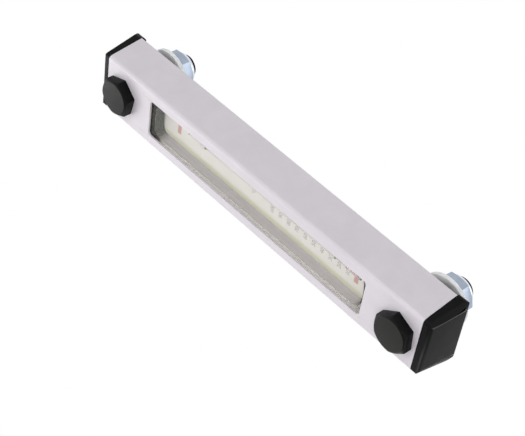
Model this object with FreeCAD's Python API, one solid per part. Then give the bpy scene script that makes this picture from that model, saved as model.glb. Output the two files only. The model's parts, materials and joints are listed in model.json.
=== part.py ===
# Oil level indicator with thermometer, for bolting to the side of a hydraulic tank.
# A clear oil channel stands behind a window in a folded sheet cover, and hangs on two hollow bolts.
#
# Frame, in millimetres: +Z up, +X to the right seen from the front, -Y towards the viewer.
# The origin is midway between the two bolts, on the face where the wall seals meet the tank.
import FreeCAD, Part
import math
import os
from FreeCAD import Vector

os.makedirs("parts", exist_ok=True)

# Fixing
bolt_spacing = 254.0
running_gap = 0.05        # between a thread and the nut that runs on it
seat_gap = 0.02           # round a ring that fills its groove
side_gap = 0.15           # between a moulding and the part that locates it

# Folded sheet cover, with sides that open out towards the wall
cover_width = 42.7        # across the front, to the sharp corners
cover_depth = 26.9
cover_splay = 3.9         # how far each side leans out over the depth
cover_overhang = 15.4     # beyond each bolt's axis
cover_standoff = 9.0      # from the rear edge to the tank wall
sheet = 1.5
bend_radius = 3.0         # outside the bend
cover_hole_radius = 8.3
window_width = 27.9
window_margin = 28.6      # from a bolt's axis to the window's end
window_corner = 2.5

# Clear body with the oil channel
body_width = 36.0
body_depth = 14.0
body_overhang = 13.9      # beyond each bolt's axis
body_corner = 9.0
front_wall = 3.0
channel_width = 25.0
channel_margin = 31.0     # from a bolt's axis to the crown of the channel's end
channel_crown = 2.0       # rise of the curved end over its corners
channel_corner = 5.0
eye_radius = 8.0          # bore for the bolt
recess_radius = 9.8       # round the eye's front, for the shank ring
recess_depth = 1.8
port_radius = 3.0         # half the width of the oil passages, and the radius of the bolts' cross holes
port_depth = 4.0          # from the channel's front wall to the cross holes' axis

# Moulded back that closes the channel and reaches to the wall
back_thickness = 6.0
back_land = 3.5           # how far the land stands into the channel
boss_radius = 14.5
spigot_radius = 10.0
spigot_setback = 1.7      # from the spigot's end to the wall
back_rib = 2.0
back_rib_height = 3.5
back_rib_count = 5

# Scale and thermometer
scale_thickness = 1.2
scale_width = 23.0
scale_margin = 3.0        # from the channel's crown to the scale's end
scale_corner = 4.0
thermometer_x = 7.2
tube_radius = 1.6
tube_margin = 27.0        # from the scale's upper end to the tube's top
tube_wall = 1.15
bulb_radius = 2.3
bulb_length = 12.0
bulb_wall = 0.6
bulb_margin = 3.0         # from the scale's lower end to the bulb
liquid_column = 54.0
clip_width = 5.0
clip_wall = 0.8
clip_margins = {"lower": 27.0, "upper": 41.0}     # from the scale's ends

# Hollow bolts
head_flats = 24.0
head_height = 7.3
head_chamfer = math.radians(30)
face_setback = 0.15       # from a hexagon's flats to the round face that its chamfer leaves
head_turn = {"lower": 6.0, "upper": -12.0}
shank_radius = 7.8
collar_radius = 8.0
collar_start = 1.4        # ahead of the wall
collar_end = 2.1          # behind the wall
thread_radius = 7.8
thread_end = 20.9         # behind the wall
thread_chamfer = 0.4
bolt_bore_radius = 3.3
bolt_bore_runout = 1.0    # beyond the cross hole
annulus_radius = 6.4
annulus_width = 6.4

# Seals, washers and lock nuts on the tank side
seal_radius = 15.0
seal_thickness = 3.5
washer_radius = 17.6
washer_bore = 8.5
washer_thickness = 3.0
washer_start = 2.2        # behind the wall, so a thin wall fits between
nut_flats = 24.0
nut_hex = 10.1
nut_crown = 2.7
nut_crown_radius = 10.9
nut_crown_edge = 1.4
nut_turn = {"lower": 28.0, "upper": 24.0}
insert_radius = 9.6
insert_thickness = 3.0
insert_lip = 0.8
insert_gap = 0.03         # between the insert and the thread

# End caps
cap_rim = 3.7             # straight rim beyond the cover's end, at the front
cap_slope = 2.5           # how much further the rim and the end face reach at the rear
cap_hip = 2.1             # from the rim to the end face
cap_rear_drop = 4.2       # behind the cover's rear edge
cap_front_inset = 2.1     # from the cap's outline to its end face
cap_rear_inset = 2.2
cap_front_side_inset = 3.9
cap_rear_side_inset = 6.4
cap_rear_corner = 5.0
cap_skirt = 4.0           # how far the slanted faces are drawn on below the rim, in lengths of their own
cap_wall = 1.8
arm_thickness = 1.5
arm_length = 9.0
arm_front_gap = 1.0       # from the arms to the inside of the cover's front bend
arm_width = 14.0

# Planes and lengths worked out from the sizes above
bolt_z = bolt_spacing / 2
cover_front = -(cover_standoff + cover_depth)
cover_rear = -cover_standoff
cover_end = bolt_z + cover_overhang
lean = cover_splay / cover_depth
slant = math.hypot(1.0, lean)
body_front = cover_front + sheet
body_rear = body_front + body_depth
body_end = bolt_z + body_overhang
channel_front = body_front + front_wall
channel_end = bolt_z - channel_margin
port_y = channel_front + port_depth
back_rear = body_rear + back_thickness
land_front = body_rear - back_land
scale_front = land_front - scale_thickness
scale_end = channel_end - scale_margin
tube_y = scale_front - bulb_radius - seat_gap
tube_top = scale_end - tube_margin
bulb_bottom = bulb_margin - scale_end
liquid_top = bulb_bottom + liquid_column
washer_end = washer_start + washer_thickness
nut_end = washer_end + nut_hex + nut_crown
insert_end = nut_end - insert_lip


def block(x0, x1, y0, y1, z0, z1):
    return Part.makeBox(x1 - x0, y1 - y0, z1 - z0, Vector(x0, y0, z0))


def rod_y(radius, y0, y1, x=0.0, z=0.0):
    return Part.makeCylinder(radius, y1 - y0, Vector(x, y0, z), Vector(0, 1, 0))


def rod_z(radius, z0, z1, x=0.0, y=0.0):
    return Part.makeCylinder(radius, z1 - z0, Vector(x, y, z0), Vector(0, 0, 1))


def ring_y(outer, inner, y0, y1):
    return rod_y(outer, y0, y1).cut(rod_y(inner, y0 - 1, y1 + 1))


def turned_y(outline):
    """Turn an outline of (radius, y) points about the Y axis."""
    points = [Vector(radius, y, 0) for radius, y in outline]
    face = Part.Face(Part.makePolygon(points + points[:1]))
    return face.revolve(Vector(0, 0, 0), Vector(0, 1, 0), 360)


def at_bolt(shape, end):
    """Move a piece made about the Y axis to the upper or the lower bolt."""
    placed = shape.copy()
    placed.translate(Vector(0, 0, bolt_z if end == "upper" else -bolt_z))
    return placed


def edges_along(shape, axis):
    """The straight edges that run along an axis."""
    found = []
    for edge in shape.Edges:
        if isinstance(edge.Curve, Part.Line) and abs(edge.tangentAt(edge.FirstParameter).dot(axis)) > 0.999:
            found.append(edge)
    return found


def rounded_plate(half_width, half_length, y0, y1, corner):
    plate = block(-half_width, half_width, y0, y1, -half_length, half_length)
    return plate.makeFillet(corner, edges_along(plate, Vector(0, 1, 0)))


def hexagon(flats, y0, y1, turn):
    """A hexagonal prism along Y, with its first corner turned from +X towards +Z."""
    radius = flats / 2 / math.cos(math.radians(30))
    angles = [math.radians(turn + 60 * step) for step in range(6)]
    points = [Vector(radius * math.cos(angle), y0, radius * math.sin(angle)) for angle in angles]
    return Part.Face(Part.makePolygon(points + points[:1])).extrude(Vector(0, y1 - y0, 0))


def cover_half(y, inset=0.0):
    """Half the cover's width at a depth, or that of a surface set inside it."""
    return cover_width / 2 + (y - cover_front) * lean - inset * slant


def cover_block(inset, y_rear, z0, z1):
    """A solid of the cover's section, set in from its outside, with rounded front corners."""
    y_front = cover_front + inset
    corners = [(-cover_half(y_front, inset), y_front), (cover_half(y_front, inset), y_front),
               (cover_half(y_rear, inset), y_rear), (-cover_half(y_rear, inset), y_rear)]
    points = [Vector(x, y, z0) for x, y in corners]
    solid = Part.Face(Part.makePolygon(points + points[:1])).extrude(Vector(0, 0, z1 - z0))
    front = [edge for edge in edges_along(solid, Vector(0, 0, 1))
             if abs(edge.Vertexes[0].Y - y_front) < 1e-6]
    return solid.makeFillet(max(bend_radius - inset, 0.3), front)


def cover_housing():
    outside = cover_block(0.0, cover_rear, -cover_end, cover_end)
    inside = cover_block(sheet, cover_rear + 1, -cover_end - 1, cover_end + 1)
    window = rounded_plate(window_width / 2, bolt_z - window_margin, cover_front - 1, body_front + 1,
                           window_corner)
    cover = outside.cut(inside).cut(window)
    for end in ("upper", "lower"):
        cover = cover.cut(at_bolt(rod_y(cover_hole_radius, cover_front - 1, body_front + 1), end))
    return cover


def channel_shape(gap, y0, y1):
    """The channel's outline with curved ends, drawn in by a gap, between two depths."""
    half = channel_width / 2 - gap
    crown = channel_end - gap
    side = crown - channel_crown
    a, b, c, d = (Vector(x, y0, z) for x, z in ((-half, -side), (-half, side), (half, side), (half, -side)))
    edges = [Part.LineSegment(a, b).toShape(),
             Part.Arc(b, Vector(0, y0, crown), c).toShape(),
             Part.LineSegment(c, d).toShape(),
             Part.Arc(d, Vector(0, y0, -crown), a).toShape()]
    solid = Part.Face(Part.Wire(edges)).extrude(Vector(0, y1 - y0, 0))
    return solid.makeFillet(channel_corner - gap, edges_along(solid, Vector(0, 1, 0)))


def sight_body():
    """The clear moulding. Its oil passages are slots, open at the rear, where the back closes them."""
    body = rounded_plate(body_width / 2, body_end, body_front, body_rear, body_corner)
    body = body.cut(channel_shape(0.0, channel_front, body_rear + 1))
    for end, side in (("upper", 1), ("lower", -1)):
        body = body.cut(at_bolt(rod_y(eye_radius, body_front - 1, body_rear + 1), end))
        body = body.cut(at_bolt(rod_y(recess_radius, body_front - 1, body_front + recess_depth), end))
        ends = sorted((side * (channel_end - channel_crown), side * bolt_z))
        body = body.cut(block(-port_radius, port_radius, port_y - port_radius, body_rear + 1, *ends))
    return body


def back_cover():
    back = rounded_plate(body_width / 2, body_end, body_rear, back_rear, body_corner)
    back = back.fuse(channel_shape(side_gap, land_front, body_rear + 1))
    rib_half = body_width / 2 - back_rib
    rib_top = back_rear + back_rib_height
    rib_end = bolt_z - boss_radius
    for x in (-rib_half, rib_half - back_rib):
        back = back.fuse(block(x, x + back_rib, back_rear - 1, rib_top, -rib_end, rib_end))
    pitch = 2 * rib_end / (back_rib_count + 1)
    for step in range(back_rib_count):
        z = -rib_end + pitch * (step + 1)
        back = back.fuse(block(-rib_half, rib_half, back_rear - 1, rib_top, z - back_rib / 2, z + back_rib / 2))
    boss_top = -seal_thickness
    for end in ("upper", "lower"):
        back = back.fuse(at_bolt(rod_y(boss_radius, back_rear - 1, boss_top), end))
        back = back.fuse(at_bolt(rod_y(spigot_radius, boss_top - 1, -spigot_setback), end))
    for end in ("upper", "lower"):
        back = back.cut(at_bolt(rod_y(eye_radius, land_front - 1, 1), end))
    return back.removeSplitter()


def scale_plate():
    return rounded_plate(scale_width / 2, scale_end, scale_front, land_front, scale_corner)


def thermometer_outline(inset_tube, inset_bulb, top):
    """Half section of the thermometer or of the hollow inside it, as (radius, z) points."""
    tube = tube_radius - inset_tube
    bulb = bulb_radius - inset_bulb
    bottom = bulb_bottom + inset_bulb
    shoulder = bulb_bottom + bulb_length - inset_bulb
    return [(0, bottom), (bulb, bottom), (bulb, shoulder), (tube, shoulder + bulb - tube), (tube, top), (0, top)]


def turned_z(outline):
    points = [Vector(thermometer_x + radius, tube_y, z) for radius, z in outline]
    face = Part.Face(Part.makePolygon(points + points[:1]))
    return face.revolve(Vector(thermometer_x, tube_y, 0), Vector(0, 0, 1), 360)


def thermometer_tube():
    outside = turned_z(thermometer_outline(0.0, 0.0, tube_top))
    inside = turned_z(thermometer_outline(tube_wall, bulb_wall, tube_top - bulb_wall))
    return outside.cut(inside)


def thermometer_liquid():
    return turned_z(thermometer_outline(tube_wall + seat_gap, bulb_wall + seat_gap, liquid_top))


def thermometer_clip(end):
    side = 1 if end == "upper" else -1
    middle = side * (scale_end - clip_margins[end])
    z0 = middle - clip_width / 2
    z1 = middle + clip_width / 2
    inner = tube_radius + seat_gap
    outer = inner + clip_wall
    saddle = rod_z(outer, z0, z1, thermometer_x, tube_y)
    saddle = saddle.fuse(block(thermometer_x - outer, thermometer_x + outer, tube_y, scale_front, z0, z1))
    saddle = saddle.cut(rod_z(inner, z0 - 1, z1 + 1, thermometer_x, tube_y))
    saddle = saddle.cut(block(thermometer_x - inner, thermometer_x + inner, tube_y, scale_front, z0 - 1, z1 + 1))
    return saddle.cut(block(thermometer_x - outer, thermometer_x + outer, scale_front, land_front, z0 - 1, z1 + 1))


def hollow_bolt(end):
    neck_start = port_y - annulus_width / 2
    neck_end = port_y + annulus_width / 2
    outline = [(0, cover_front - 1), (shank_radius, cover_front - 1), (shank_radius, neck_start),
               (annulus_radius, neck_start), (annulus_radius, neck_end), (shank_radius, neck_end),
               (shank_radius, -collar_start), (collar_radius, -collar_start),
               (collar_radius, collar_end), (thread_radius, collar_end),
               (thread_radius, thread_end - thread_chamfer), (thread_radius - thread_chamfer, thread_end),
               (0, thread_end)]
    head_front = cover_front - head_height
    head = hexagon(head_flats, head_front, cover_front, head_turn[end])
    corner = head_flats / math.sqrt(3)
    face = head_flats / 2 - face_setback
    bevel = (corner - face) * math.tan(head_chamfer)
    head = head.common(turned_y([(0, head_front), (face, head_front), (corner, head_front + bevel),
                                 (corner, cover_front), (0, cover_front)]))
    bolt = turned_y(outline).fuse(head)
    bore_end = port_y - port_radius - bolt_bore_runout
    drill_tip = bolt_bore_radius / math.tan(math.radians(59))
    bore = turned_y([(0, bore_end - drill_tip), (bolt_bore_radius, bore_end),
                     (bolt_bore_radius, thread_end + 1), (0, thread_end + 1)])
    bolt = bolt.cut(bore).cut(rod_z(port_radius, -eye_radius, eye_radius, y=port_y))
    return at_bolt(bolt, end)


def shank_ring(end):
    """The square-cut ring under the cover sheet that stops oil from creeping forwards past the bolt."""
    ring = ring_y(recess_radius - seat_gap, shank_radius + seat_gap,
                  body_front + seat_gap, body_front + recess_depth - seat_gap)
    return at_bolt(ring, end)


def wall_seal(end):
    return at_bolt(ring_y(seal_radius, spigot_radius + side_gap, -seal_thickness, 0.0), end)


def washer(end):
    return at_bolt(ring_y(washer_radius, washer_bore, washer_start, washer_end), end)


def lock_nut(end):
    hex_end = washer_end + nut_hex
    corner = nut_flats / math.sqrt(3)
    face = nut_flats / 2 - face_setback
    bevel = (corner - face) * math.tan(head_chamfer)
    nut = hexagon(nut_flats, washer_end, hex_end, nut_turn[end])
    nut = nut.common(turned_y([(0, washer_end), (corner, washer_end),
                               (corner, hex_end - bevel), (face, hex_end), (0, hex_end)]))
    crown = turned_y([(0, hex_end - 1), (nut_crown_radius, hex_end - 1),
                      (nut_crown_radius, nut_end - nut_crown_edge),
                      (nut_crown_radius - nut_crown_edge, nut_end), (0, nut_end)])
    nut = nut.fuse(crown).cut(rod_y(thread_radius + running_gap, washer_end - 1, nut_end + 1))
    nut = nut.cut(rod_y(insert_radius, insert_end - insert_thickness, insert_end))
    return at_bolt(nut.cut(rod_y(insert_radius - insert_lip, insert_end - 0.5, nut_end + 1)), end)


def nut_insert(end):
    ring = ring_y(insert_radius - seat_gap, thread_radius + insert_gap,
                  insert_end - insert_thickness + seat_gap, insert_end - seat_gap)
    return at_bolt(ring, end)


def four_sided(front, rear):
    """A wire through the front and rear corners, each given as (half width, y, z)."""
    corners = [(-front[0], *front[1:]), front, rear, (-rear[0], *rear[1:])]
    points = [Vector(*corner) for corner in corners]
    return Part.makePolygon(points + points[:1])


def cap_shell(wall):
    """The cap's outside, or the hollow inside it at a wall's distance."""
    y_front = cover_front + wall
    y_rear = cover_rear + cap_rear_drop - wall
    face_front = y_front + cap_front_inset - wall / 2
    face_rear = y_rear - cap_rear_inset + wall / 2
    rise = cap_slope / (y_rear - y_front)
    start = cover_end - (1.0 if wall else 0.0)
    rim = cover_end + cap_rim - wall / 2
    face = cover_end + cap_rim + cap_hip - wall
    rims = [Vector(cover_half(y, wall), y, rim + (y - y_front) * rise) for y in (y_front, y_rear)]
    faces = [Vector(cover_half(y, inset + wall / 2), y, face + (y - y_front) * rise)
             for y, inset in ((face_front, cap_front_side_inset), (face_rear, cap_rear_side_inset))]
    skirts = [low + (low - high) * cap_skirt for low, high in zip(rims, faces)]
    slants = Part.makeLoft([four_sided(*skirts), four_sided(*faces)], True, True)
    foot = four_sided(*[Vector(corner.x, corner.y, start) for corner in rims])
    walls = Part.Face(foot).extrude(Vector(0, 0, faces[1].z + 1 - start))
    for y, radius in ((y_front, bend_radius - wall), (y_rear, cap_rear_corner - wall)):
        walls = walls.makeFillet(radius, [edge for edge in edges_along(walls, Vector(0, 0, 1))
                                          if abs(edge.Vertexes[0].Y - y) < 1e-6])
    return walls.common(slants)


def end_cap(end):
    shell = cap_shell(0.0).cut(cap_shell(cap_wall))
    arm_front = cover_front + sheet + side_gap + arm_thickness + arm_front_gap
    arm_rear = arm_front + arm_width
    arm_end = cover_end + cap_rim - cap_wall
    outer = cover_block(sheet + side_gap, arm_rear, cover_end - arm_length, arm_end)
    inner = cover_block(sheet + side_gap + arm_thickness, arm_rear + 1, cover_end - arm_length - 1, arm_end + 1)
    reach = block(-cover_width, cover_width, arm_front, arm_rear, cover_end - arm_length, arm_end)
    cap = shell.fuse(outer.cut(inner).common(reach))
    return cap if end == "upper" else cap.mirror(Vector(0, 0, 0), Vector(0, 0, 1))


pieces = {
    "cover_housing": cover_housing(),
    "sight_body": sight_body(),
    "back_cover": back_cover(),
    "scale_plate": scale_plate(),
    "thermometer_tube": thermometer_tube(),
    "thermometer_liquid": thermometer_liquid(),
    "hollow_bolts": Part.makeCompound([hollow_bolt("upper"), hollow_bolt("lower")]),
    "shank_rings": Part.makeCompound([shank_ring("upper"), shank_ring("lower")]),
}
for end in ("upper", "lower"):
    pieces[f"{end}_end_cap"] = end_cap(end)
    pieces[f"{end}_wall_seal"] = wall_seal(end)
    pieces[f"{end}_washer"] = washer(end)
    pieces[f"{end}_lock_nut"] = lock_nut(end)
    pieces[f"{end}_nut_insert"] = nut_insert(end)
    pieces[f"{end}_thermometer_clip"] = thermometer_clip(end)

for name, shape in pieces.items():
    solids = shape.Solids
    print(f"{name}: solids {len(solids)}, {shape.Volume:.1f} mm3, valid {shape.isValid()}")
    shape.exportStep(f"parts/{name}.step")
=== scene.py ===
import bmesh
import bpy
import json
import math
from mathutils import Euler, Matrix, Vector


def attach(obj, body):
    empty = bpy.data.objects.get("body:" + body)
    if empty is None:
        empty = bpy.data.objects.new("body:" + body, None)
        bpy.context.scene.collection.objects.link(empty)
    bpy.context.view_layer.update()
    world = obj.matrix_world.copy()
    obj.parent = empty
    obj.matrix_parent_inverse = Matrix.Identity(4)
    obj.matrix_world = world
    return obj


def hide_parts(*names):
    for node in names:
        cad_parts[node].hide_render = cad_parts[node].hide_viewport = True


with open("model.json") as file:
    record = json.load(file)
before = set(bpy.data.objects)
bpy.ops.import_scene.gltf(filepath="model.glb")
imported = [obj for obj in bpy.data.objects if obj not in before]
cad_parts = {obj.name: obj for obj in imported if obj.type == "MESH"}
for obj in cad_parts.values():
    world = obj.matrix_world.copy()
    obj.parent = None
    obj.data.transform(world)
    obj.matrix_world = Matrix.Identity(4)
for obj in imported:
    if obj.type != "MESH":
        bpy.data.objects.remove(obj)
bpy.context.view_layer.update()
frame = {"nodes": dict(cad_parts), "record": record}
mm = 0.001
weld = 1e-6   # points closer than this, in metres, become one
boltPlaces = {"upper": 127.0, "lower": -127.0}
print("frame loaded:", len(frame["nodes"]), "solids")


# shading

class Value:
    # one socket, so that sums on it add their own Math nodes
    def __init__(self, look, socket):
        self.look = look
        self.socket = socket

    def maths(self, operation, *values):
        return self.look.add("ShaderNodeMath", {"operation": operation}, dict(enumerate(values)))

    def __add__(self, other):
        return self.maths("ADD", self, other)

    def __radd__(self, other):
        return self.maths("ADD", other, self)

    def __sub__(self, other):
        return self.maths("SUBTRACT", self, other)

    def __rsub__(self, other):
        return self.maths("SUBTRACT", other, self)

    def __mul__(self, other):
        return self.maths("MULTIPLY", self, other)

    def __rmul__(self, other):
        return self.maths("MULTIPLY", other, self)

    def __abs__(self):
        return self.maths("ABSOLUTE", self)


class Look:
    # one node tree: a material's or the world's
    def __init__(self, tree):
        self.tree = tree
        tree.nodes.clear()

    def add(self, kind, settings=None, sockets=None, output=0):
        node = self.tree.nodes.new(kind)
        for name, value in (settings or {}).items():
            setattr(node, name, value)
        for name, value in (sockets or {}).items():
            if isinstance(value, Value):
                self.tree.links.new(value.socket, node.inputs[name])
            else:
                node.inputs[name].default_value = value
        return Value(self, node.outputs[output] if len(node.outputs) else None)

    def place(self):
        return self.add("ShaderNodeTexCoord", output="Object")

    def along(self, axis):
        # how far a point lies along X, Y or Z, in metres
        return self.add("ShaderNodeSeparateXYZ", {}, {"Vector": self.place()}, axis)

    def marked(self, name):
        # the share that a face attribute of the piece holds, and 0 where there is none
        return self.add("ShaderNodeAttribute", {"attribute_name": name}, output="Fac")

    def anyRay(self, *kinds):
        # 1 for a ray of one of the kinds
        rays = [self.add("ShaderNodeLightPath", output=f"Is {kind} Ray") for kind in kinds]
        found = rays[0]
        for ray in rays[1:]:
            found = found.maths("MAXIMUM", found, ray)
        return found

    def seenRay(self):
        # 1 for what the camera sees, straight, mirrored or through glass
        return self.anyRay("Camera", "Glossy", "Transmission")

    def noise(self, size, detail=2.0, rough=0.5):
        # size: of its largest patches, in mm
        return self.add("ShaderNodeTexNoise", {}, {
            "Vector": self.place(), "Scale": 1 / (size * mm), "Detail": detail, "Roughness": rough})

    def spread(self, value, low, high):
        # 0 below low, 1 above high, even between them
        return self.add("ShaderNodeMapRange", {}, {"Value": value, "From Min": low, "From Max": high})

    def fade(self, distance, start, stop):
        # from 0 to 1 between two distances in mm
        return self.spread(distance, start * mm, stop * mm)

    def cloud(self, size, detail=3.0, rough=0.55, low=0.35, high=0.7):
        # soft patches with plain stretches between them: noise, spread between two of its levels
        return self.spread(self.noise(size, detail, rough), low, high)

    def mixed(self, share, first, second):
        # a Mix node's colours are its inputs 6 and 7 and its output 2
        colours = {6: first, 7: second}
        for key, colour in colours.items():
            if not isinstance(colour, Value):
                colours[key] = (*colour, 1)
        return self.add("ShaderNodeMix", {"data_type": "RGBA"}, {0: share, **colours}, 2)

    def bump(self, height, depth, under=None):
        sockets = {"Height": height, "Strength": 1.0, "Distance": depth * mm}
        if under:
            sockets["Normal"] = under
        return self.add("ShaderNodeBump", {}, sockets)

    def surface(self, sockets):
        return self.add("ShaderNodeBsdfPrincipled", {}, sockets)

    def close(self, shader, kind="ShaderNodeOutputMaterial"):
        self.add(kind, {}, {"Surface": shader})


def newLook(name):
    material = bpy.data.materials.new(name)
    material.use_nodes = True
    return material, Look(material.node_tree)


def scaled(colour, factor, lift=0.0):
    return tuple(factor * part + lift for part in colour)


def paintedSheet():
    paint = {"pale": (0.77, 0.73, 0.782), "shade": (0.735, 0.695, 0.747), "cloud": (14, 3, 0.6),
             "peel": 1.9, "peelDepth": 0.006, "grain": 0.45, "grainDepth": 0.002,
             "rough": 0.33, "roughCloud": 0.09, "roughPeel": 0.05,
             "shine": 0.42, "coat": 0.12, "coatRough": 0.22}
    material, look = newLook("coverPaint")
    cloud = look.cloud(*paint["cloud"])
    peel = look.noise(paint["peel"])
    waves = look.bump(peel, paint["peelDepth"])
    look.close(look.surface({
        "Base Color": look.mixed(cloud, paint["pale"], paint["shade"]),
        "Roughness": paint["rough"] + paint["roughCloud"] * cloud + paint["roughPeel"] * peel,
        "Specular IOR Level": paint["shine"], "Coat Weight": paint["coat"],
        "Coat Roughness": paint["coatRough"],
        "Normal": look.bump(look.noise(paint["grain"]), paint["grainDepth"], waves)}))
    return material


def capMoulding():
    # matt black, with a satin coat where the caps' edges are marked for it
    cap = {"black": (0.0035, 0.0035, 0.0037), "paler": 1.6, "cloud": 9,
           "grain": (0.5, 3, 0.6), "grainDepth": 0.005,
           "rough": 0.34, "roughCloud": 0.08, "roughGrain": 0.06,
           "shine": 0.07, "edgeCoat": 0.9, "coatRough": 0.3}
    material, look = newLook("capPlastic")
    cloud = look.cloud(cap["cloud"])
    grain = look.noise(*cap["grain"])
    look.close(look.surface({
        "Base Color": look.mixed(cloud, cap["black"], scaled(cap["black"], cap["paler"])),
        "Roughness": cap["rough"] + cap["roughCloud"] * cloud + cap["roughGrain"] * grain,
        "Specular IOR Level": cap["shine"], "Coat Weight": cap["edgeCoat"] * look.marked("edgeShare"),
        "Coat Roughness": cap["coatRough"], "Normal": look.bump(grain, cap["grainDepth"])}))
    return material


def clearMoulding(name, tint, ior, rough, shadow, paintedShade=None):
    # paintedShade: a dark tint painted in as shade between two heights and two depths, in mm
    clear = {"mirror": (0.5, 0.5, 0.42, 1), "ripple": (22, 2, 0.4), "rippleDepth": 0.012,
             "roughRipple": 0.02}
    material, look = newLook(name)
    ripple = look.noise(*clear["ripple"])
    colour = (*tint, 1)
    if paintedShade:
        deep = look.fade(look.along("Y"), *paintedShade["depths"])
        beyond = look.fade(abs(look.along("Z")), *paintedShade["heights"])
        colour = look.mixed(deep * beyond, tint, paintedShade["tint"])
    glass = look.surface({
        "Base Color": colour, "Transmission Weight": 1.0, "IOR": ior, "Specular Tint": clear["mirror"],
        "Roughness": rough + clear["roughRipple"] * ripple,
        "Normal": look.bump(ripple, clear["rippleDepth"])})
    passing = look.add("ShaderNodeBsdfTransparent", {}, {"Color": (*shadow, 1)})
    unseen = look.anyRay("Shadow", "Diffuse")
    look.close(look.add("ShaderNodeMixShader", {}, {0: unseen, 1: glass, 2: passing}))
    return material


def blackSteel():
    # black oxide, paler on the heads' turned front faces: partly their finish, partly a painted highlight
    steel = {"worn": (0.006, 0.006, 0.0065), "dark": (0.002, 0.002, 0.0022),
             "turned": (0.024, 0.024, 0.023), "cloud": (5, 4, 0.6, 0.35, 0.68),
             "speck": (0.35, 3, 0.65), "speckDepth": 0.003,
             "rough": 0.36, "roughCloud": 0.12, "roughSpeck": 0.08, "shine": 0.09}
    material, look = newLook("blackSteel")
    cloud = look.cloud(*steel["cloud"])
    speck = look.noise(*steel["speck"])
    forged = look.mixed(cloud, steel["dark"], steel["worn"])
    look.close(look.surface({
        # the turned faces' paler colour is in part a painted highlight
        "Base Color": look.mixed(look.marked("turnedShare"), forged, steel["turned"]),
        "Roughness": steel["rough"] + steel["roughCloud"] * cloud - steel["roughSpeck"] * speck,
        "Specular IOR Level": steel["shine"], "Normal": look.bump(speck, steel["speckDepth"])}))
    return material


def zincPlate(name, metal, rough, forged, lathed):
    # bright zinc: bluish on forged flats, paler where the piece was turned
    zinc = {"forgedPaler": 1.22, "lathedDarker": 0.92, "cloud": (7, 4, 0.6, 0.36, 0.66),
            "grain": (0.5, 3, 0.6), "grainDepth": 0.003, "roughCloud": 0.1, "roughGrain": 0.08}
    material, look = newLook(name)
    cloud = look.cloud(*zinc["cloud"])
    grain = look.noise(*zinc["grain"])
    flats = look.mixed(cloud, forged, scaled(forged, zinc["forgedPaler"]))
    rounds = look.mixed(cloud, lathed, scaled(lathed, zinc["lathedDarker"]))
    look.close(look.surface({
        "Base Color": look.mixed(look.marked("turnedShare"), flats, rounds), "Metallic": metal,
        "Roughness": rough + zinc["roughCloud"] * cloud + zinc["roughGrain"] * grain,
        "Normal": look.bump(grain, zinc["grainDepth"])}))
    return material


def softRubber():
    rubber = {"black": (0.012, 0.012, 0.012), "dusty": (0.026, 0.026, 0.027),
              "dust": (3, 4, 0.6, 0.45, 0.75), "grain": 0.3, "grainDepth": 0.006,
              "rough": 0.62, "roughDust": 0.14, "shine": 0.35}
    material, look = newLook("sealRubber")
    dust = look.cloud(*rubber["dust"])
    look.close(look.surface({
        "Base Color": look.mixed(dust, rubber["black"], rubber["dusty"]),
        "Roughness": rubber["rough"] + rubber["roughDust"] * dust, "Specular IOR Level": rubber["shine"],
        "Normal": look.bump(look.noise(rubber["grain"]), rubber["grainDepth"])}))
    return material


def fineMatt(look, rough):
    # the soft patches and the fine grain that the pale mouldings share
    matt = {"cloud": 8, "roughCloud": 0.1, "grain": 0.6, "grainDepth": 0.003}
    cloud = look.cloud(matt["cloud"])
    return cloud, {"Roughness": rough + matt["roughCloud"] * cloud,
                   "Normal": look.bump(look.noise(matt["grain"]), matt["grainDepth"])}


def paleMoulding(name, pale, shade, rough, milky):
    milkDepth = (0.8, 0.8, 0.7)   # how far red, green and blue light go in, in mm
    material, look = newLook(name)
    cloud, matt = fineMatt(look, rough)
    look.close(look.surface({
        "Base Color": look.mixed(cloud, pale, shade), "Subsurface Weight": milky,
        "Subsurface Radius": scaled(milkDepth, mm), **matt}))
    return material


def backMoulding():
    # pale, with painted shade on its front past the channel's ends and a faint painted glow between them
    back = {"pale": (0.93, 0.91, 0.90), "shade": (0.95, 0.935, 0.925), "ends": (0.03, 0.027, 0.015),
            "rough": 0.5, "paintedGlow": (1.0, 0.98, 0.92), "paintedGlowStrength": 0.08,
            "depths": (-19.9, -20.0), "heights": (93.5, 96.0)}
    material, look = newLook("backPlastic")
    cloud, matt = fineMatt(look, back["rough"])
    front = look.fade(look.along("Y"), *back["depths"])
    beyond = look.fade(abs(look.along("Z")), *back["heights"])
    pale = look.mixed(cloud, back["pale"], back["shade"])
    # painted shade: the front is dark past the channel's ends; painted light: it glows a little between
    # them, though it is no lamp
    look.close(look.surface({
        "Base Color": look.mixed(front * beyond, pale, back["ends"]),
        "Emission Color": look.mixed(front * (1 - beyond), (0, 0, 0), back["paintedGlow"]),
        "Emission Strength": back["paintedGlowStrength"], **matt}))
    return material


def scaleCard():
    # white card, with a faint yellow-green glow painted along its sides where the clear body's edges light
    # it
    card = {"white": (0.87, 0.84, 0.815), "shade": (0.90, 0.87, 0.85), "rough": 0.5,
            "paintedEdgeGlow": (0.70, 0.70, 0.50), "sides": (6.6, 9.6)}
    material, look = newLook("scaleWhite")
    cloud, matt = fineMatt(look, card["rough"])
    paintedEdgeGlow = look.fade(abs(look.along("X")), *card["sides"])
    white = look.mixed(cloud, card["white"], card["shade"])
    look.close(look.surface({"Base Color": look.mixed(paintedEdgeGlow, white, card["paintedEdgeGlow"]), **matt}))
    return material


def ink(name, colour):
    printed = {"worn": 0.75, "wornLift": 0.06, "patch": (0.8, 3, 0.6, 0.3, 0.8), "rough": 0.45,
               "roughPatch": 0.15}
    material, look = newLook(name)
    patch = look.cloud(*printed["patch"])
    look.close(look.surface({
        "Base Color": look.mixed(patch, colour, scaled(colour, printed["worn"], printed["wornLift"])),
        "Roughness": printed["rough"] + printed["roughPatch"] * patch}))
    return material


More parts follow.
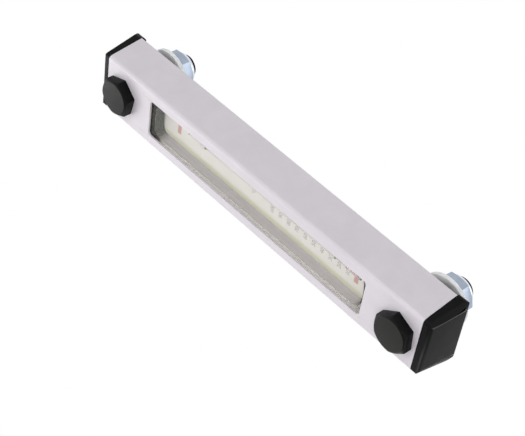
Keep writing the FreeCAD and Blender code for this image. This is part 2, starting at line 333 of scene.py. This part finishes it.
def dyedLiquid():
    dye = {"deep": (0.34, 0.012, 0.014), "bright": (0.46, 0.02, 0.02), "swirl": 4, "rough": 0.12,
           "roughSwirl": 0.05, "coat": 0.3}
    material, look = newLook("thermometerDye")
    swirl = look.noise(dye["swirl"])
    look.close(look.surface({
        "Base Color": look.mixed(swirl, dye["deep"], dye["bright"]),
        "Roughness": dye["rough"] + dye["roughSwirl"] * swirl, "Coat Weight": dye["coat"]}))
    return material


finishes = {
    "cover_paint": paintedSheet(),
    "cap_plastic": capMoulding(),
    "back_plastic": backMoulding(),
    "clear_plastic": clearMoulding(
        "clearPlastic", tint=(0.995, 0.99, 0.98), ior=1.49, rough=0.015, shadow=(0.985, 0.985, 0.97),
        # painted shade: the body's ends go dark olive where the cover keeps the light off
        paintedShade={"tint": (0.10, 0.085, 0.02), "heights": (88.0, 95.5), "depths": (-30.8, -29.5)}),
    "thermometer_glass": clearMoulding(
        "thermometerGlass", tint=(0.98, 0.99, 0.99), ior=1.33, rough=0.1, shadow=(0.95, 0.96, 0.96)),
    "thermometer_dye": dyedLiquid(),
    "scale_white": scaleCard(),
    "clip_plastic": paleMoulding(
        "clipPlastic", pale=(0.68, 0.68, 0.64), shade=(0.74, 0.74, 0.70), rough=0.45, milky=0.1),
    "black_steel": blackSteel(),
    "seal_rubber": softRubber(),
    "zinc_steel": zincPlate(
        "zincPlate", metal=1.0, rough=0.24, forged=(0.325, 0.375, 0.455), lathed=(0.74, 0.79, 0.84)),
    "nylon": paleMoulding(
        "nylonInsert", pale=(0.60, 0.66, 0.68), shade=(0.68, 0.73, 0.75), rough=0.42, milky=0.2)}
# painted light: a pale, nearly matt copy of the zinc, so that the washers' faces read bright in the
# cover's shade
washerZincPaintedLight = zincPlate(
    "washerZincPaintedLight", metal=0.05, rough=0.36, forged=(0.90, 0.91, 0.92), lathed=(0.91, 0.92, 0.93))
inkGrey = ink("inkGrey", (0.42, 0.41, 0.42))
inkRed = ink("inkRed", (0.66, 0.34, 0.30))
slots = {row["node"]: row["material_slot"] for row in frame["record"]["subparts"]}
bodies = {node: body for body, nodes in frame["record"]["behaviour"]["bodies"].items() for node in nodes}
print("finishes made:", len(bpy.data.materials))


# shaping

def outlined(shape, outline, lift=0.0):
    # the points and sides of a closed outline of (radius, y) in mm
    points = [shape.verts.new((radius * mm, (lift + y) * mm, 0)) for radius, y in outline]
    return points + [shape.edges.new((points[step - 1], points[step])) for step in range(len(points))]


def turned(outline, steps=96):
    # spins an outline about the Y axis
    shape = bmesh.new()
    bmesh.ops.spin(shape, geom=outlined(shape, outline), cent=(0, 0, 0), axis=(0, 1, 0), angle=math.tau,
                   steps=steps, use_merge=True)
    bmesh.ops.remove_doubles(shape, verts=shape.verts, dist=weld)
    bmesh.ops.recalc_face_normals(shape, faces=shape.faces)
    return shape


def flatRing(form, steps=96):
    return turned([(form["inner"], form["front"]), (form["outer"], form["front"]),
                   (form["outer"], form["rear"]), (form["inner"], form["rear"])], steps)


def helix(section, pitch, start, stop):
    # winds a section into a screw thread from start to stop
    shape = bmesh.new()
    turns = (stop - start) / pitch
    steps = 40   # to a turn
    bmesh.ops.spin(shape, geom=outlined(shape, section, start), cent=(0, 0, 0), axis=(0, -1, 0),
                   angle=math.tau * turns, dvec=(0, pitch * mm / steps, 0), steps=round(steps * turns),
                   use_merge=False)
    bmesh.ops.holes_fill(shape, edges=[edge for edge in shape.edges if edge.is_boundary])
    bmesh.ops.recalc_face_normals(shape, faces=shape.faces)
    return shape


def solidCopy(node):
    # a CAD solid's mesh with its loose triangles merged into plane faces
    shape = bmesh.new()
    shape.from_mesh(frame["nodes"][node].data)
    bmesh.ops.remove_doubles(shape, verts=shape.verts, dist=weld)
    bmesh.ops.dissolve_limit(shape, angle_limit=math.radians(0.6), verts=shape.verts, edges=shape.edges)
    return shape


def cutOff(shape, place, outwards):
    # cuts away what lies outwards of a place, and closes the cut
    bmesh.ops.bisect_plane(shape, geom=shape.verts[:] + shape.edges[:] + shape.faces[:], dist=weld / 10,
                           plane_co=Vector(place) * mm, plane_no=outwards, clear_outer=True)
    rims = [edge for edge in shape.edges if edge.is_boundary]
    if rims:
        bmesh.ops.triangle_fill(shape, use_beauty=True, use_dissolve=False, edges=rims, normal=outwards)


def roundEdges(shape, width, segments, sharper, where=lambda edge: True, clamp=True):
    # bevels the edges that turn by more than an angle in degrees, and gives the new faces
    chosen = [edge for edge in shape.edges if len(edge.link_faces) == 2
              and abs(edge.calc_face_angle(0)) > math.radians(sharper) and where(edge)]
    made = bmesh.ops.bevel(shape, geom=chosen, offset=width * mm, offset_type="OFFSET", segments=segments,
                           profile=0.5, affect="EDGES", clamp_overlap=clamp, material=-1)
    return made["faces"]


def joined(*shapes):
    whole = bmesh.new()
    for shape in shapes:
        part = bpy.data.meshes.new("part")
        shape.to_mesh(part)
        shape.free()
        whole.from_mesh(part)
        bpy.data.meshes.remove(part)
    return whole


def piece(shape, name, node, stands=True, smooth=32.0, finish=None, move=(0, 0, 0)):
    # makes a piece of a bmesh, on the body and with the finish of a CAD node
    bmesh.ops.translate(shape, verts=shape.verts, vec=Vector(move) * mm)
    mesh = bpy.data.meshes.new(name)
    shape.to_mesh(mesh)
    shape.free()
    mesh.polygons.foreach_set("use_smooth", [True] * len(mesh.polygons))
    mesh.set_sharp_from_angle(angle=math.radians(smooth))
    made = bpy.data.objects.new(name, mesh)
    bpy.context.scene.collection.objects.link(made)
    made.data.materials.append(finish or finishes[slots[node]])
    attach(made, bodies[node])
    if stands:
        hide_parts(node)
    return made


def markTurned(made, rule):
    # tells the finish which faces of a piece were turned
    share = made.data.attributes.new("turnedShare", "FLOAT", "FACE")
    share.data.foreach_set("value", [1.0 if rule(face) else 0.0 for face in made.data.polygons])


def bevelled(made, width, segments=2, sharper=30.0):
    edge = made.modifiers.new("roundedEdges", "BEVEL")
    edge.width = width * mm
    edge.segments = segments
    edge.limit_method = "ANGLE"
    edge.angle_limit = math.radians(sharper)
    even = made.modifiers.new("evenShading", "WEIGHTED_NORMAL")
    even.keep_sharp = True


# sheet cover

def sheetCover():
    sheet = {"width": 42.7, "depth": 26.9, "splay": 3.9, "front": -35.9, "end": 142.4, "thickness": 1.5,
             "bend": 3.0, "bendSteps": 12, "windowHalf": 13.95, "windowEnd": 98.4, "windowCorner": 2.5,
             "cornerSteps": 8, "hole": 8.3, "holeSteps": 48, "edge": 0.22, "sharper": 50}
    lean = math.atan(sheet["splay"] / sheet["depth"])
    turn = math.pi / 2 - lean
    tangent = sheet["bend"] * math.tan(turn / 2)
    half = sheet["width"] / 2 - tangent
    side = sheet["depth"] / math.cos(lean) - tangent
    shape = bmesh.new()
    corners = [shape.verts.new((x * mm, sheet["front"] * mm, z * mm)) for x, z in (
        (-half, -sheet["end"]), (half, -sheet["end"]), (half, sheet["end"]), (-half, sheet["end"]))]
    rims = [shape.edges.new((corners[step - 1], corners[step])) for step in range(4)]
    folds = {-1: rims[0], 1: rims[2]}   # the long edges at the left and the right
    upright = Matrix.Translation((0, sheet["front"] * mm, 0)) @ Matrix.Rotation(math.pi / 2, 4, "X")
    for z in boltPlaces.values():
        hole = bmesh.ops.create_circle(shape, cap_ends=False, radius=sheet["hole"] * mm,
                                       segments=sheet["holeSteps"],
                                       matrix=Matrix.Translation((0, 0, z * mm)) @ upright)
        rims += dict.fromkeys(edge for vert in hole["verts"] for edge in vert.link_edges)
    opening = Matrix.Diagonal((sheet["windowHalf"] * mm, sheet["windowEnd"] * mm, 1, 1))
    window = bmesh.ops.create_grid(shape, x_segments=1, y_segments=1, size=1, matrix=upright @ opening)
    bmesh.ops.bevel(shape, geom=window["verts"], offset=sheet["windowCorner"] * mm, offset_type="OFFSET",
                    segments=sheet["cornerSteps"], profile=0.5, affect="VERTICES", clamp_overlap=True,
                    material=-1)
    pane = next(iter(shape.faces))   # the window is the only face so far
    rims += pane.edges
    bmesh.ops.delete(shape, geom=[pane], context="FACES_ONLY")
    bmesh.ops.triangle_fill(shape, use_beauty=True, use_dissolve=False, edges=rims, normal=(0, -1, 0))
    for way, edge in folds.items():
        # the sheet turns through the bend, then runs back to the rear edge, leaning out
        hinge = (way * half * mm, (sheet["front"] + sheet["bend"]) * mm, 0)
        bend = bmesh.ops.spin(shape, geom=[edge, *edge.verts], cent=hinge, axis=(0, 0, way), angle=turn,
                              steps=sheet["bendSteps"], use_merge=False)
        last = [part for part in bend["geom_last"] if isinstance(part, bmesh.types.BMEdge)]
        wall = bmesh.ops.extrude_edge_only(shape, edges=last)
        moved = [part for part in wall["geom"] if isinstance(part, bmesh.types.BMVert)]
        bmesh.ops.translate(shape, verts=moved,
                            vec=Vector((way * math.sin(lean), math.cos(lean), 0)) * side * mm)
    bmesh.ops.recalc_face_normals(shape, faces=shape.faces)
    if sum(face.normal.y * face.calc_area() for face in shape.faces) > 0:
        bmesh.ops.reverse_faces(shape, faces=shape.faces)
    made = piece(shape, "sheetCover", "cover_housing")
    wall = made.modifiers.new("sheetThickness", "SOLIDIFY")
    wall.thickness = sheet["thickness"] * mm
    wall.offset = -1
    wall.use_even_offset = True
    bevelled(made, sheet["edge"], sharper=sheet["sharper"])


sheetCover()
print("sheet cover folded")


# studs, washers and nuts

# face: the radius of a head's or a nut's round end face, from which the cone falls to the corners
hexForm = {"flats": 24.0, "face": 11.2, "margin": 0.01, "cone": math.tan(math.radians(30)), "steps": 120}
hexForm["corner"] = hexForm["flats"] / math.sqrt(3)
hexForm["bevel"] = (hexForm["corner"] - hexForm["face"]) * hexForm["cone"]


def hexagonal(outline, turn, cones=(1, 1)):
    # spins an outline and draws in what lies past the face radius to six flats, whose corners
    # a 30 degree cone cuts at the front, the rear or both
    shape = turned(outline, hexForm["steps"])
    inside = hexForm["face"] + hexForm["margin"]
    heights = [y for radius, y in outline if radius > inside]
    middle = (min(heights) + max(heights)) / 2
    for vert in shape.verts:
        radius = math.hypot(vert.co.x, vert.co.z) / mm
        if radius > inside:
            angle = math.atan2(vert.co.z, vert.co.x) % (math.pi / 3)
            reach = hexForm["flats"] / 2 / math.cos(angle - math.pi / 6)
            rise = (radius - reach) * hexForm["cone"] * mm
            vert.co.y += rise * cones[1] if vert.co.y > middle * mm else -rise * cones[0]
            vert.co.x *= reach / radius
            vert.co.z *= reach / radius
    bmesh.ops.rotate(shape, verts=shape.verts, cent=(0, 0, 0),
                     matrix=Matrix.Rotation(-math.radians(turn), 3, "Y"))
    bmesh.ops.dissolve_limit(shape, angle_limit=math.radians(0.5), verts=shape.verts, edges=shape.edges)
    return shape


# sunk and slack: how far one shape of a stud reaches into the next, or is held off it
stud = {"front": -43.2, "seat": -35.9, "turn": {"upper": -12.0, "lower": 6.0}, "rounding": 0.25,
        "faceDepth": 0.1, "faceTilt": -0.95, "collarEnd": 2.0, "neckEnd": 2.9, "end": 20.9,
        "bore": 3.3, "boreEdge": 0.3, "core": 6.95, "crest": 7.8, "pitch": 1.5, "rootFlat": 0.25,
        "crestFlat": 0.2, "threadStart": 2.62, "threadStop": 20.85, "chamfer": 0.4,
        "tipDepth": 0.24, "tipEdge": 0.12, "sunk": 0.1, "slack": 0.05}


def studHead(turn):
    head = hexagonal([(0, stud["front"]), (hexForm["face"], stud["front"]),
                      (hexForm["corner"], stud["front"] + hexForm["bevel"]),
                      (hexForm["corner"], stud["seat"]), (0, stud["seat"])], turn, cones=(1, 0))
    roundEdges(head, stud["rounding"], segments=2, sharper=20)
    return head


def studShank(z):
    # the CAD's smooth shank with its cross hole, between the head and the collar's end
    shank = solidCopy("hollow_bolts")
    bmesh.ops.translate(shank, verts=shank.verts, vec=(0, 0, -z * mm))
    cutOff(shank, (0, 0, -z), (0, 0, -math.copysign(1, z)))
    cutOff(shank, (0, stud["seat"] + stud["slack"], 0), (0, -1, 0))
    cutOff(shank, (0, stud["collarEnd"], 0), (0, 1, 0))
    return shank


def studCore():
    # the thread's core, with the bore up its end
    root = stud["collarEnd"] - stud["sunk"]
    return turned([(stud["bore"], root), (stud["core"] + stud["sunk"], root),
                   (stud["core"], stud["neckEnd"]), (stud["core"], stud["end"] - stud["tipDepth"]),
                   (stud["core"] - stud["tipEdge"], stud["end"]),
                   (stud["bore"] + stud["boreEdge"], stud["end"]),
                   (stud["bore"], stud["end"] - stud["boreEdge"])])


def studThread():
    half = (stud["pitch"] - stud["rootFlat"]) / 2
    root = stud["core"] - stud["sunk"]
    ridge = helix([(root, -half), (stud["crest"], -stud["crestFlat"]), (stud["crest"], stud["crestFlat"]),
                   (root, half)], stud["pitch"], stud["threadStart"], stud["threadStop"])
    for vert in ridge.verts:
        # the thread runs out in the chamfer at the stud's end
        past = vert.co.y / mm - (stud["end"] - stud["chamfer"])
        radius = math.hypot(vert.co.x, vert.co.z) / mm
        if past > 0:
            vert.co.y = min(vert.co.y, stud["end"] * mm)
        if past > 0 and radius > stud["core"]:
            share = max(stud["core"] - stud["slack"], min(radius, stud["crest"] - past)) / radius
            vert.co.x *= share
            vert.co.z *= share
    return ridge


def hollowStud(end):
    z = boltPlaces[end]
    shape = joined(studHead(stud["turn"][end]), studShank(z), studCore(), studThread())
    made = piece(shape, f"{end}HollowStud", "hollow_bolts", smooth=18, move=(0, 0, z))
    disc = (stud["front"] + stud["faceDepth"]) * mm
    markTurned(made, lambda face: face.center.y < disc and face.normal.y < stud["faceTilt"])


def flatWasher(end):
    disc = {"outer": 17.6, "inner": 8.5, "front": 2.2, "rear": 5.2, "rim": 0.55, "rimFrom": 15.0,
            "boreEdge": 0.2}
    shape = flatRing(disc, steps=128)
    roundEdges(shape, disc["rim"], segments=4, sharper=40,
               where=lambda edge: edge.verts[0].co.xz.length > disc["rimFrom"] * mm)
    roundEdges(shape, disc["boreEdge"], segments=2, sharper=60)
    piece(shape, f"{end}FlatWasher", f"{end}_washer", finish=washerZincPaintedLight, move=(0, 0, boltPlaces[end]))


def lockNut(end):
    nut = {"front": 5.2, "hexEnd": 15.3, "end": 18.0, "turn": {"upper": 24.0, "lower": 28.0}, "edge": 0.14,
           "crown": 10.9, "rounding": 1.9, "arcSteps": 8, "bore": 7.85, "boreEdge": 0.5,
           "groove": 9.6, "grooveWidth": 3.0, "lip": 8.8, "lipDepth": 0.8,
           "crest": 7.15, "crestFlat": 0.1, "rootFlat": 0.12, "sunk": 0.1, "pitch": 1.5,
           "threadStart": 6.75, "threadStop": 13.6, "faceTilt": 0.25}
    turns = [math.pi / 2 * step / nut["arcSteps"] for step in range(nut["arcSteps"] + 1)]
    dome = [(nut["crown"] - nut["rounding"] * (1 - math.cos(turn)),
             nut["end"] - nut["rounding"] * (1 - math.sin(turn))) for turn in turns]
    grooveEnd = nut["end"] - nut["lipDepth"]
    grooveStart = grooveEnd - nut["grooveWidth"]
    hexagon = hexagonal([
        (nut["bore"] + nut["boreEdge"], nut["front"]), (hexForm["face"], nut["front"]),
        (hexForm["corner"], nut["front"] + hexForm["bevel"]),
        (hexForm["corner"], nut["hexEnd"] - hexForm["bevel"]),
        (hexForm["face"], nut["hexEnd"]), (nut["crown"], nut["hexEnd"]), *dome,
        (nut["lip"], nut["end"]), (nut["lip"], grooveEnd), (nut["groove"], grooveEnd),
        (nut["groove"], grooveStart), (nut["bore"], grooveStart),
        (nut["bore"], nut["front"] + nut["boreEdge"])], nut["turn"][end])
    roundEdges(hexagon, nut["edge"], segments=2, sharper=20, where=lambda edge: min(
        vert.co.xz.length for vert in edge.verts) > hexForm["face"] * mm)
    half = nut["pitch"] / 2 - nut["rootFlat"]
    root = nut["bore"] + nut["sunk"]
    ridge = helix([(root, -half), (root, half), (nut["crest"], nut["crestFlat"]),
                   (nut["crest"], -nut["crestFlat"])], nut["pitch"], nut["threadStart"], nut["threadStop"])
    made = piece(joined(hexagon, ridge), f"{end}LockNut", f"{end}_lock_nut", smooth=18,
                 move=(0, 0, boltPlaces[end]))
    markTurned(made, lambda face: abs(face.normal.y) > nut["faceTilt"]
               or face.center.y > nut["hexEnd"] * mm)


def nylonRing(end):
    ring = {"outer": 9.58, "inner": 7.83, "front": 14.22, "rear": 17.18, "edge": 0.3}
    shape = flatRing(ring)
    roundEdges(shape, ring["edge"], segments=3, sharper=40)
    piece(shape, f"{end}NylonRing", f"{end}_nut_insert", move=(0, 0, boltPlaces[end]))


def wallSeal(end):
    seal = {"outer": 15.0, "inner": 10.15, "front": -3.5, "rear": 0, "edge": 0.5}
    shape = flatRing(seal, steps=112)
    roundEdges(shape, seal["edge"], segments=4, sharper=40)
    piece(shape, f"{end}WallSeal", f"{end}_wall_seal", move=(0, 0, boltPlaces[end]))


for end in boltPlaces:
    hollowStud(end)
    flatWasher(end)
    lockNut(end)
    nylonRing(end)
    wallSeal(end)
print("studs, washers, nuts and seals turned")


# mouldings

def moulding(node, name, width=0.0, segments=2, smooth=35.0):
    # a CAD solid as it is, with its edges rounded by a width
    made = piece(solidCopy(node), name, node, smooth=smooth)
    if width:
        bevelled(made, width, segments)


def endCap(end):
    # the end face slants, so an edge's reach is taken along its slope
    cap = {"front": -35.9, "slope": 0.0804, "face": 147.2, "rear": -4.9, "edge": 1.0, "segments": 4,
           "sharper": 18, "sideways": 0.2}
    shape = solidCopy(f"{end}_end_cap")
    share = shape.faces.layers.float.new("edgeShare")

    def atRear(edge):
        return min(vert.co.y for vert in edge.verts) > cap["rear"] * mm

    def atFace(edge):
        reach = min(abs(vert.co.z) / mm - cap["slope"] * (vert.co.y / mm - cap["front"])
                    for vert in edge.verts)
        return reach > cap["face"]

    roundEdges(shape, cap["edge"], cap["segments"], cap["sharper"], atRear, clamp=False)
    for face in roundEdges(shape, cap["edge"], cap["segments"], cap["sharper"], atFace, clamp=False):
        # the end face's edges along the sides catch the light
        face.normal_update()
        face[share] = 1.0 if abs(face.normal.x) > cap["sideways"] else 0.0
    piece(shape, f"{end}EndCap", f"{end}_end_cap", smooth=35.0)


moulding("sight_body", "sightBody", smooth=40)
moulding("back_cover", "backCover", width=0.3)
for end in boltPlaces:
    endCap(end)
    moulding(f"{end}_thermometer_clip", f"{end}ThermometerClip", width=0.15)
moulding("shank_rings", "shankRings", width=0.3, segments=3)
print("mouldings finished")


# scale and thermometer

inkDepth = 0.03   # mm


def lettering(text, height, x, y, z):
    # plain figures as a mesh, upright and facing the front
    curve = bpy.data.curves.new("figures", "FONT")
    curve.body = text
    curve.size = height * mm / 0.7   # a figure is 0.7 of the font's size
    curve.align_x = "CENTER"
    curve.align_y = "CENTER"
    curve.extrude = inkDepth / 2 * mm
    curve.resolution_u = 3
    holder = bpy.data.objects.new("figures", curve)
    bpy.context.scene.collection.objects.link(holder)
    bpy.context.view_layer.update()
    mesh = bpy.data.meshes.new_from_object(holder)
    bpy.data.objects.remove(holder)
    shape = bmesh.new()
    shape.from_mesh(mesh)
    bpy.data.meshes.remove(mesh)
    bmesh.ops.transform(shape, matrix=Matrix.Translation(Vector((x, y, z)) * mm)
                        @ Matrix.Rotation(math.pi / 2, 4, "X"), verts=shape.verts)
    return shape


def bar(width, height, x, y, z):
    shape = bmesh.new()
    bmesh.ops.create_cube(shape, size=1, matrix=Matrix.Translation(Vector((x, y, z)) * mm)
                          @ Matrix.Diagonal((width * mm, inkDepth * mm, height * mm, 1)))
    return shape


def scalePrint():
    marks = {"plate": -25.1, "lift": 0.015, "first": -77.4, "step": 7.4, "figures": range(10, 101, 10),
             "size": 3.1, "figureX": -0.7, "tickX": 4.2, "tickLength": 2.2, "tickWidth": 0.28,
             "shortX": 4.7, "shortLength": 1.21, "shortWidth": 0.224, "unitX": 0.4, "unitZ": 6.5,
             "unitSize": 2.8, "bands": (-84.5, 78.5), "bandWidth": 6.9, "bandHeight": 3.4}
    y = marks["plate"] - marks["lift"]
    grey = []
    for step, number in enumerate(marks["figures"]):
        z = marks["first"] + marks["step"] * step
        grey.append(lettering(str(number), marks["size"], marks["figureX"], y, z))
        grey.append(bar(marks["tickLength"], marks["tickWidth"], marks["tickX"], y, z))
        if number != marks["figures"][-1]:
            # a shorter, thinner tick half way to the next figure
            grey.append(bar(marks["shortLength"], marks["shortWidth"], marks["shortX"], y,
                            z + marks["step"] / 2))
    grey.append(lettering("°C", marks["unitSize"], marks["unitX"], y, marks["unitZ"]))
    piece(joined(*grey), "scaleFigures", "scale_plate", stands=False, finish=inkGrey)
    red = [bar(marks["bandWidth"], marks["bandHeight"], 0, y, z) for z in marks["bands"]]
    piece(joined(*red), "levelBands", "scale_plate", stands=False, finish=inkRed)


moulding("scale_plate", "scalePlate", width=0.15)
scalePrint()
moulding("thermometer_tube", "thermometerTube", smooth=50)
moulding("thermometer_liquid", "thermometerLiquid", smooth=50)
print("scale printed, thermometer in place")


# floor, light and camera

def paleFloor():
    ground = {"half": 6, "height": -1.5, "grey": (0.8, 0.8, 0.8, 1), "rough": 0.9}
    shape = bmesh.new()
    bmesh.ops.create_grid(shape, x_segments=1, y_segments=1, size=ground["half"],
                          matrix=Matrix.Translation((0, 0, ground["height"])))
    mesh = bpy.data.meshes.new("paleFloor")
    shape.to_mesh(mesh)
    shape.free()
    floor = bpy.data.objects.new("paleFloor", mesh)
    bpy.context.scene.collection.objects.link(floor)
    material, look = newLook("paleFloor")
    matt = look.surface({"Base Color": ground["grey"], "Roughness": ground["rough"]})
    white = look.add("ShaderNodeEmission", {}, {"Color": (1, 1, 1, 1), "Strength": 1.0})
    look.close(look.add("ShaderNodeMixShader", {}, {0: look.seenRay(), 1: matt, 2: white}))
    mesh.materials.append(material)


def whiteRoom(strength):
    # lights the object at a strength, and is plain white where it is seen
    world = bpy.data.worlds.new("whiteRoom")
    world.use_nodes = True
    bpy.context.scene.world = world
    look = Look(world.node_tree)
    level = strength + (1 - strength) * look.seenRay()
    look.close(look.add("ShaderNodeBackground", {}, {"Color": (1, 1, 1, 1), "Strength": level}),
               "ShaderNodeOutputWorld")


def softbox(name, power, size, place):
    # a round lamp that faces the object
    lamp = bpy.data.lights.new(name, "AREA")
    lamp.shape = "DISK"
    lamp.size = size
    lamp.energy = power
    holder = bpy.data.objects.new(name, lamp)
    holder.location = place
    holder.rotation_euler = (-Vector(place)).to_track_quat("-Z", "Y").to_euler()
    bpy.context.scene.collection.objects.link(holder)


def photoCamera():
    view = {"place": (0.59949, -0.51635, -0.44298), "turn": (130.7078, 41.5256, 81.1106),
            "lens": 99.495, "sensor": 36.0, "near": 0.01, "far": 50}
    lens = bpy.data.cameras.new("photoCamera")
    lens.lens = view["lens"]
    lens.sensor_width = view["sensor"]
    lens.clip_start = view["near"]
    lens.clip_end = view["far"]
    camera = bpy.data.objects.new("photoCamera", lens)
    camera.location = view["place"]
    camera.rotation_euler = Euler([math.radians(angle) for angle in view["turn"]], "XYZ")
    bpy.context.scene.collection.objects.link(camera)
    bpy.context.scene.camera = camera


# each lamp's power in watts, its width and its place in metres
lamps = {"keyLight": (9.9, 1.3, (-0.4, -0.96, 1.22)), "lowLight": (4.6, 1.2, (0.4, 0.86, -1.22)),
         "sideLight": (5.6, 1.0, (1.18, -0.88, 0.2)), "edgeLight": (2.6, 0.8, (-1.4, -0.35, -0.1)),
         "windowLight": (4.4, 0.9, (0.5, -1.2, -0.9))}
paleFloor()
whiteRoom(strength=0.45)
for name, (power, size, place) in lamps.items():
    softbox(name, power, size, place)
photoCamera()
bpy.context.scene.view_settings.view_transform = "Standard"
print("floor, lights and camera set")
